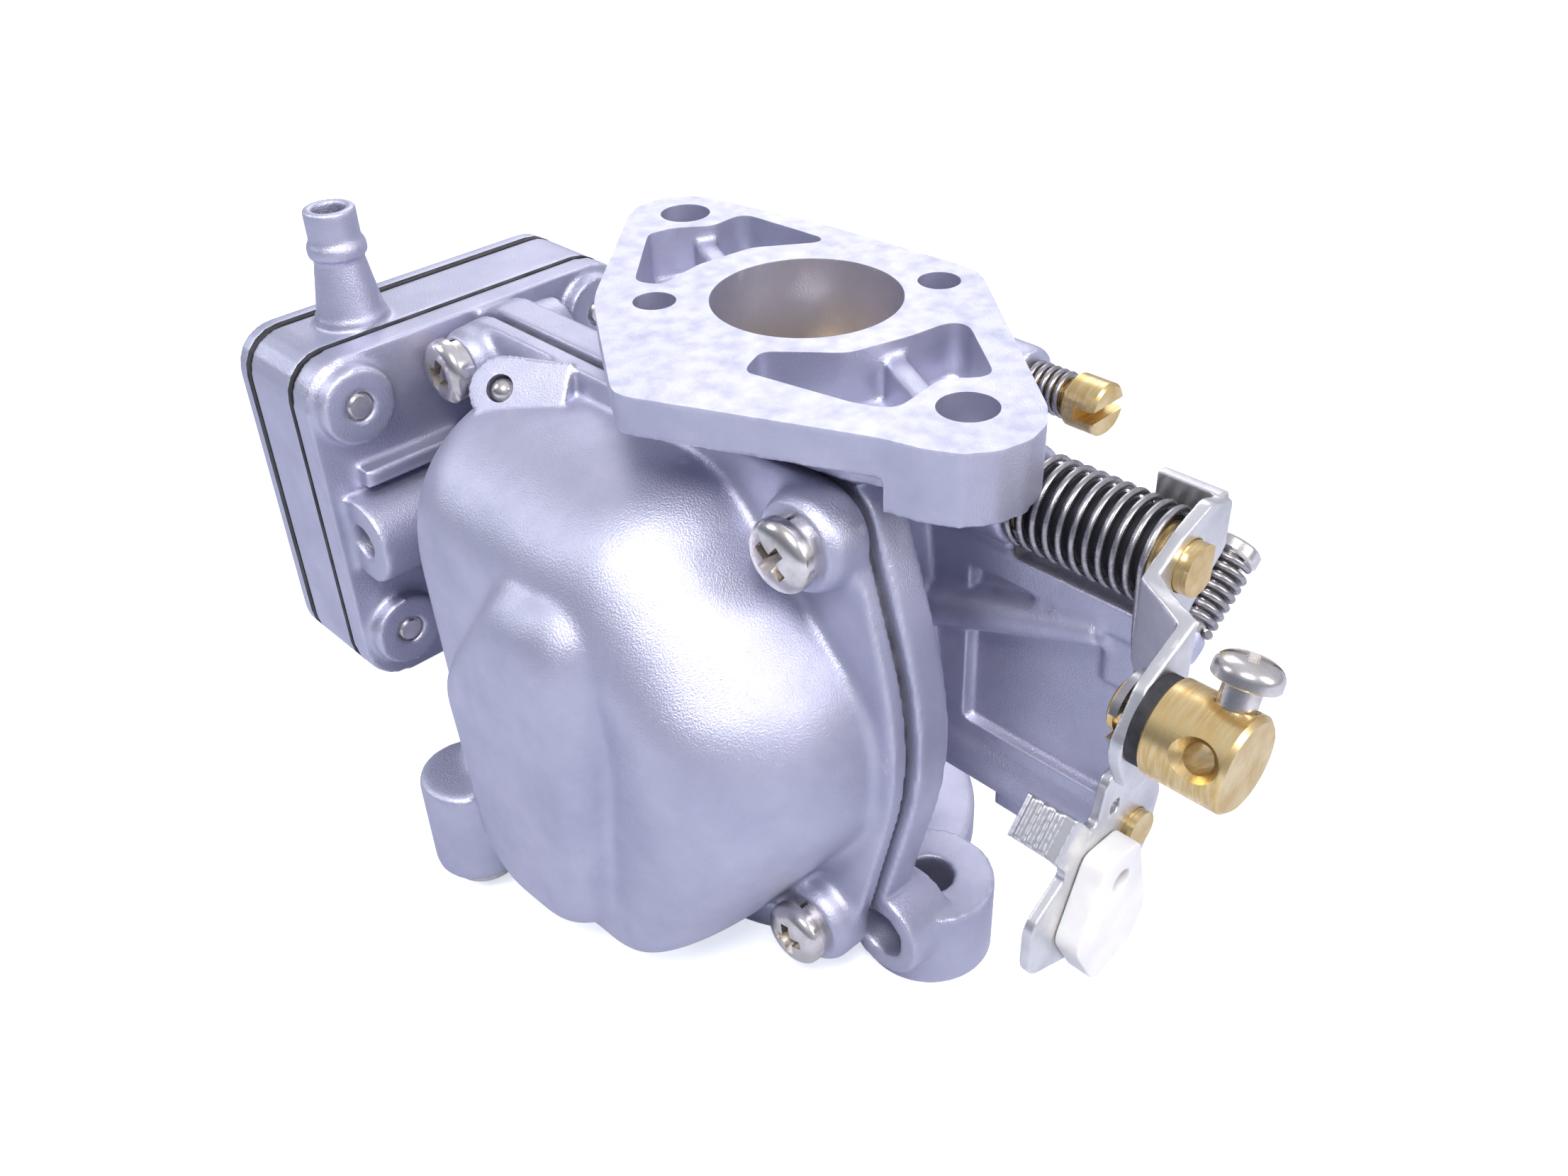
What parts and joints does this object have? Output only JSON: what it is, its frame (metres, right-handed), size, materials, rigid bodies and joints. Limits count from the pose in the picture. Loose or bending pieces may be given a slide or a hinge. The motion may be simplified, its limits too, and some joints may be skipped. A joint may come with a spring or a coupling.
{
  "type": "carburetor",
  "caption": "Side-draught carburetor with a bolted-on diaphragm fuel pump, float bowl, sprung throttle lever with a cable barrel, and a choke lever.",
  "frame": {"origin": "centre of the throat on the engine flange's face", "axes": "+Z out of the engine flange, +X along the two shafts to the levers, float bowl on -Y"},
  "size_m": [0.1431, 0.0745, 0.093],
  "materials": {
    "cast_alloy": "satin sand-cast",
    "gasket_black": "matt",
    "valve_film": "satin",
    "diaphragm_rubber": "matt",
    "bright_screw": "bright zinc",
    "lever_steel": "zinc plated",
    "spring_steel": "dark oiled",
    "brass": "satin",
    "pin_steel": "bright",
    "sleeve_black": "satin",
    "nylon": "satin",
    "float_foam": "matt"
  },
  "bodies": {
    "carburetor": {"body": "cast_alloy", "float_bowl": "cast_alloy", "bowl_gasket": "gasket_black", "bowl_screws": "bright_screw", "bowl_screw_washers": "bright_screw", "drain_screw": "bright_screw", "drain_washer": "gasket_black", "vent_ball": "bright_screw", "pump_body": "cast_alloy", "pump_gasket": "gasket_black", "pump_valve_sheet": "valve_film", "pump_diaphragm": "diaphragm_rubber", "pump_cover_gasket": "gasket_black", "pump_cover": "cast_alloy", "pump_screws": "bright_screw", "idle_stop_spring": "spring_steel", "pilot_screw_spring": "spring_steel", "main_nozzle": "brass", "main_jet": "brass", "pilot_jet": "brass", "float_pin": "pin_steel", "needle_seat": "brass", "passage_plug": "brass"},
    "throttle": {"throttle_shaft": "brass", "throttle_plate": "brass", "throttle_plate_screws": "bright_screw", "throttle_lever": "lever_steel", "throttle_return_spring": "spring_steel", "spring_sleeve": "sleeve_black"},
    "cable_swivel": {"cable_barrel": "brass", "barrel_washer": "gasket_black", "barrel_clip": "spring_steel"},
    "clamp_screw": {"cable_clamp_screw": "bright_screw"},
    "choke": {"choke_shaft": "brass", "choke_plate": "brass", "choke_plate_screws": "bright_screw", "choke_lever": "lever_steel"},
    "rod_clip": {"choke_rod_clip": "nylon"},
    "float": {"float": "float_foam", "float_arm": "brass"},
    "needle": {"needle_valve": "pin_steel"},
    "pilot": {"pilot_screw": "brass"},
    "idle_stop": {"idle_stop_screw": "bright_screw"}
  },
  "joints": [
    {"name": "throttle_turn", "type": "hinge", "parent": "carburetor", "child": "throttle", "pos_m": [0, 0, -0.014], "axis": [-1, 0, 0], "range_deg": [0, 70], "stiffness_Nm_per_rad": 0.02, "springref_deg": -28.65},
    {"name": "barrel_swivel", "type": "hinge", "parent": "throttle", "child": "cable_swivel", "pos_m": [0.0685, -0.0146, -0.022], "axis": [1, 0, 0], "range_deg": [-45, 90]},
    {"name": "clamp_screw_turn", "type": "hinge", "parent": "cable_swivel", "child": "clamp_screw", "pos_m": [0.0698, -0.01168, -0.01499], "axis": [0, 0.3846, 0.9231], "range_deg": [-360, 360]},
    {"name": "choke_turn", "type": "hinge", "parent": "carburetor", "child": "choke", "pos_m": [0, 0, -0.053], "axis": [1, 0, 0], "range_deg": [0, 75]},
    {"name": "rod_clip_turn", "type": "hinge", "parent": "choke", "child": "rod_clip", "pos_m": [0.054, -0.008, -0.062], "axis": [1, 0, 0], "range_deg": [0, 40]},
    {"name": "float_swing", "type": "hinge", "parent": "carburetor", "child": "float", "pos_m": [0, -0.0215, -0.071], "axis": [1, 0, 0], "range_deg": [0, 5]},
    {"name": "needle_slide", "type": "slide", "parent": "carburetor", "child": "needle", "axis": [0, -1, 0], "range_m": [0, 0.00028]},
    {"name": "pilot_screw_turn", "type": "hinge", "parent": "carburetor", "child": "pilot", "pos_m": [0.0337, 0.013, -0.008], "axis": [1, 0, 0], "range_deg": [-360, 360]},
    {"name": "idle_stop_turn", "type": "hinge", "parent": "carburetor", "child": "idle_stop", "pos_m": [0.054, 0.0125, -0.02], "axis": [0, 0.8, 0.6], "range_deg": [-360, 360]}
  ],
  "couplings": [
    {"joint": "needle_slide", "follows": "float_swing", "m_per_rad": 0.0032}
  ]
}
